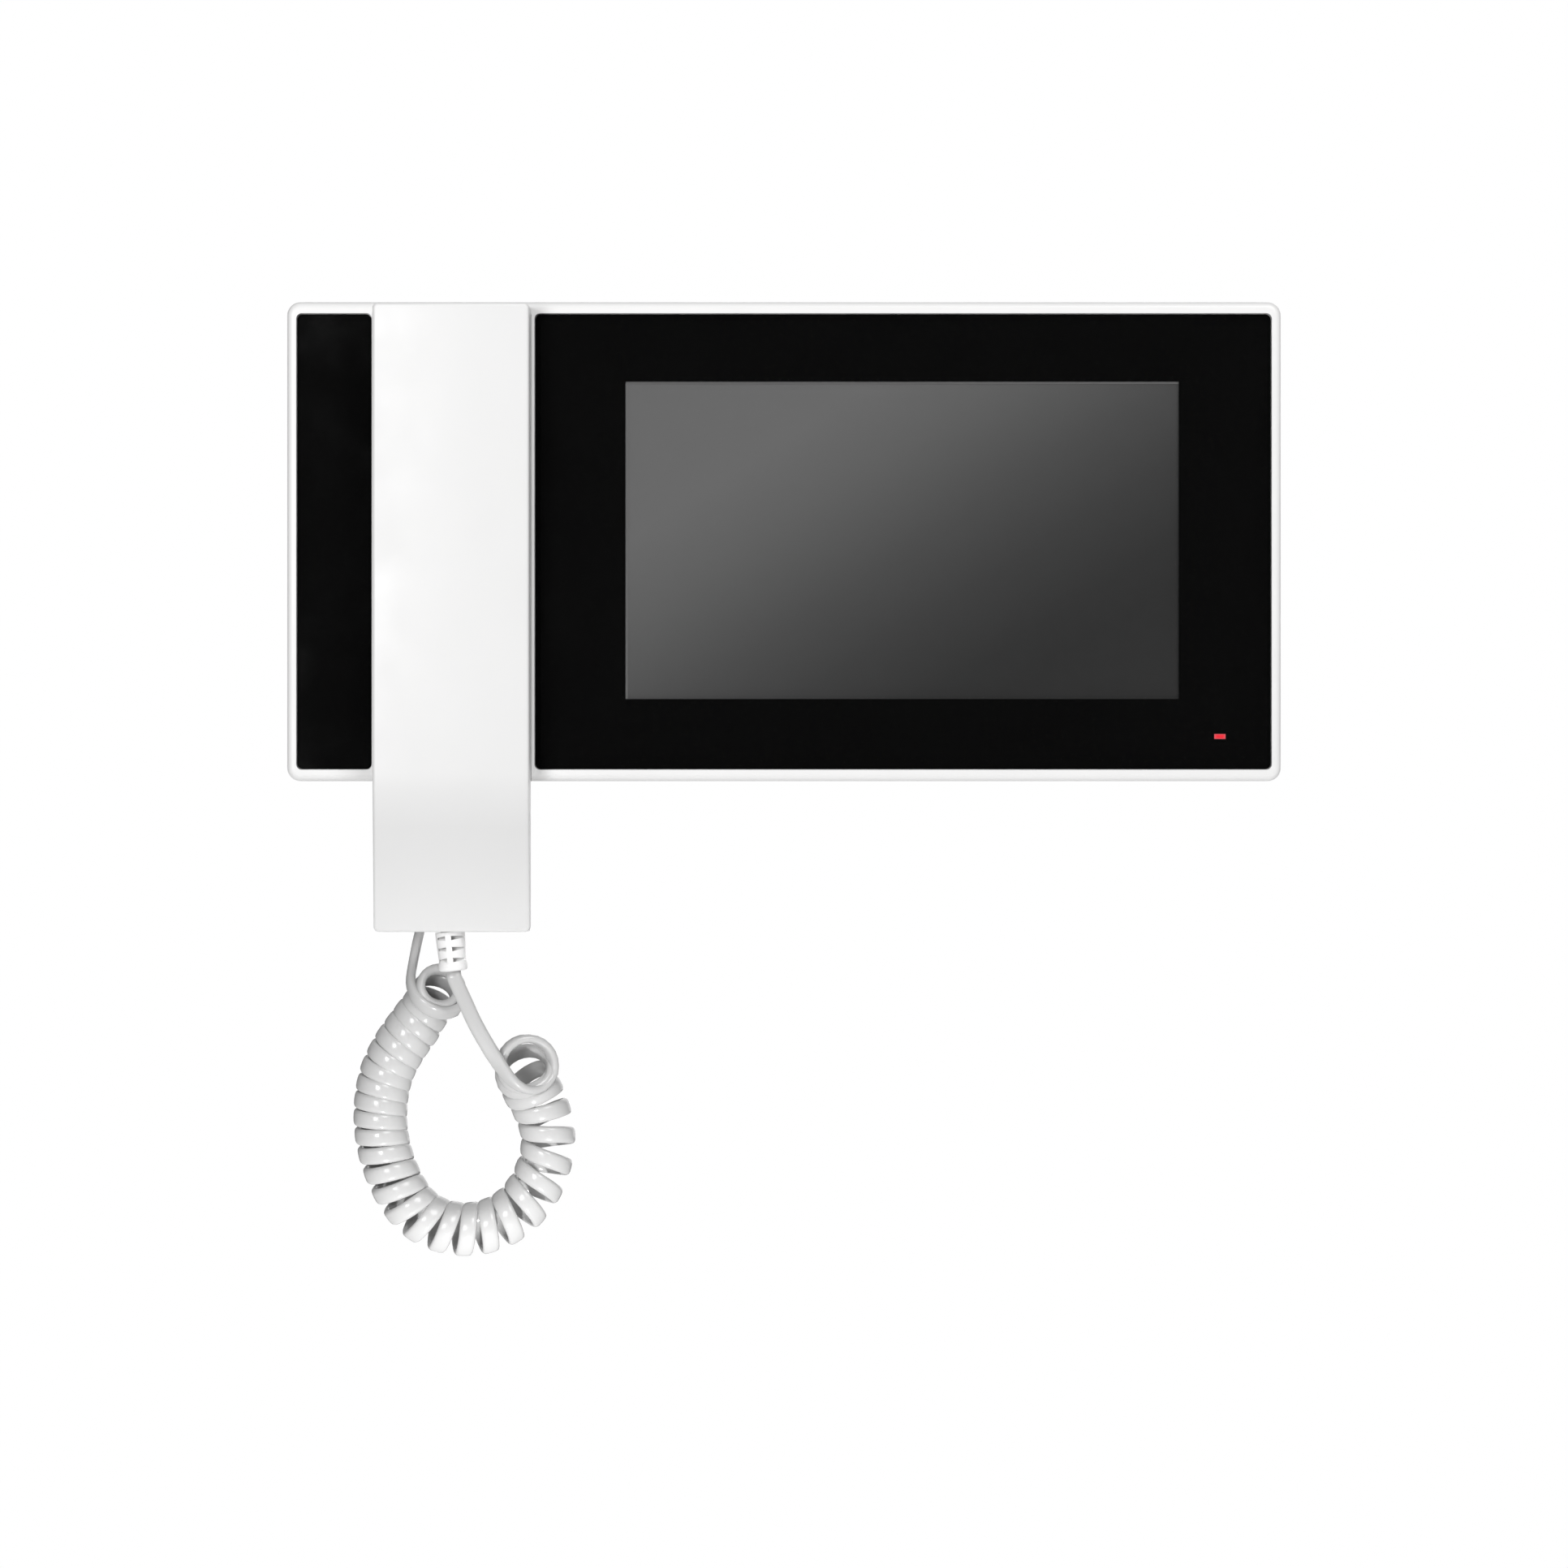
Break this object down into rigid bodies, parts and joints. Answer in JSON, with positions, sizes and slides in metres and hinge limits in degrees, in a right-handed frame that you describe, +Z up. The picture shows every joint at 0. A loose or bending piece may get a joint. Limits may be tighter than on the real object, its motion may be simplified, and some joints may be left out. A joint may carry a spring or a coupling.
{
  "type": "video intercom monitor with corded handset",
  "caption": "White wall-mounted video intercom monitor with black glass, a corded handset in a side cradle and a coiled cord.",
  "frame": {"origin": "centre of the wall screw pattern, on the wall plane behind the bracket", "axes": "+Z up, +Y into the wall, +X to the right seen from the front; the front faces -Y"},
  "size_m": [0.2808, 0.043, 0.2696],
  "materials": {
    "white_abs": "gloss",
    "inner_abs": "satin",
    "black_glass": "gloss",
    "printed_film": "matte",
    "foam_tape": "matte",
    "lcd_stack": "satin",
    "zinc_steel": "satin",
    "screw_steel": "satin",
    "spring_steel": "gloss",
    "magnet_steel": "satin",
    "polyimide": "gloss",
    "circuit_board": "satin",
    "dark_resin": "satin",
    "green_resin": "satin",
    "clear_resin": "gloss",
    "red_lens": "gloss",
    "paper_cone": "matte",
    "rubber": "matte",
    "cloth": "matte",
    "white_pvc": "gloss",
    "coil_pvc": "gloss"
  },
  "bodies": {
    "monitor": {"wall_bracket": "zinc_steel", "bracket_lock_screw": "screw_steel", "rear_housing": "white_abs", "front_frame": "white_abs", "frame_screws": "screw_steel", "cradle_tray": "inner_abs", "tray_screws": "screw_steel", "left_glass": "black_glass", "left_mask": "printed_film", "main_glass": "black_glass", "main_mask": "printed_film", "glass_tapes": "foam_tape", "lcd_panel": "lcd_stack", "lcd_shield": "zinc_steel", "lcd_screws": "screw_steel", "lcd_flex": "polyimide", "main_board": "circuit_board", "board_screws": "screw_steel", "shield_can": "zinc_steel", "chips": "dark_resin", "power_parts": "dark_resin", "terminal_block": "green_resin", "touch_board": "circuit_board", "touch_cable": "dark_resin", "led_board": "circuit_board", "led_emitter": "clear_resin", "led_lens": "red_lens", "speaker_frame": "dark_resin", "speaker_cone": "paper_cone", "speaker_magnet": "magnet_steel", "hook_switch": "dark_resin", "hook_spring": "spring_steel", "side_board": "circuit_board", "dial_pots": "dark_resin", "power_switch": "dark_resin", "cord_jack": "dark_resin", "cradle_magnet": "magnet_steel", "cord_plug": "clear_resin", "cord_lead_base": "white_pvc", "cord_coil": "coil_pvc", "cord_lead_handset": "white_pvc"},
    "plunger": {"hook_plunger": "white_abs"},
    "volume": {"volume_dial": "dark_resin"},
    "brightness": {"brightness_dial": "dark_resin"},
    "slider": {"power_slider": "white_abs"},
    "handset": {"handset_front_shell": "white_abs", "handset_rear_shell": "white_abs", "ear_capsule": "zinc_steel", "ear_gasket": "rubber", "ear_cloth": "cloth", "mic_capsule": "zinc_steel", "mic_boot": "rubber", "handset_weight": "zinc_steel", "handset_magnet": "magnet_steel", "handset_board": "circuit_board", "handset_screws": "screw_steel", "strain_relief": "white_pvc"}
  },
  "joints": [
    {"name": "handset_lift", "type": "slide", "parent": "monitor", "child": "handset", "axis": [0, -1, 0], "range_m": [0, 0.05]},
    {"name": "plunger_press", "type": "slide", "parent": "monitor", "child": "plunger", "axis": [0, -1, 0], "range_m": [0, 0.003], "deforming": ["hook_spring"]},
    {"name": "volume_turn", "type": "hinge", "parent": "monitor", "child": "volume", "pos_m": [0.1333, -0.0095, 0.012], "axis": [0, -1, 0], "range_deg": [-135, 135]},
    {"name": "brightness_turn", "type": "hinge", "parent": "monitor", "child": "brightness", "pos_m": [0.1333, -0.0095, -0.012], "axis": [0, -1, 0], "range_deg": [-135, 135]},
    {"name": "power_slide", "type": "slide", "parent": "monitor", "child": "slider", "axis": [0, 0, 1], "range_m": [0, 0.004]}
  ],
  "couplings": [
    {"joint": "plunger_press", "follows": "handset_lift", "ratio": 0.06}
  ]
}
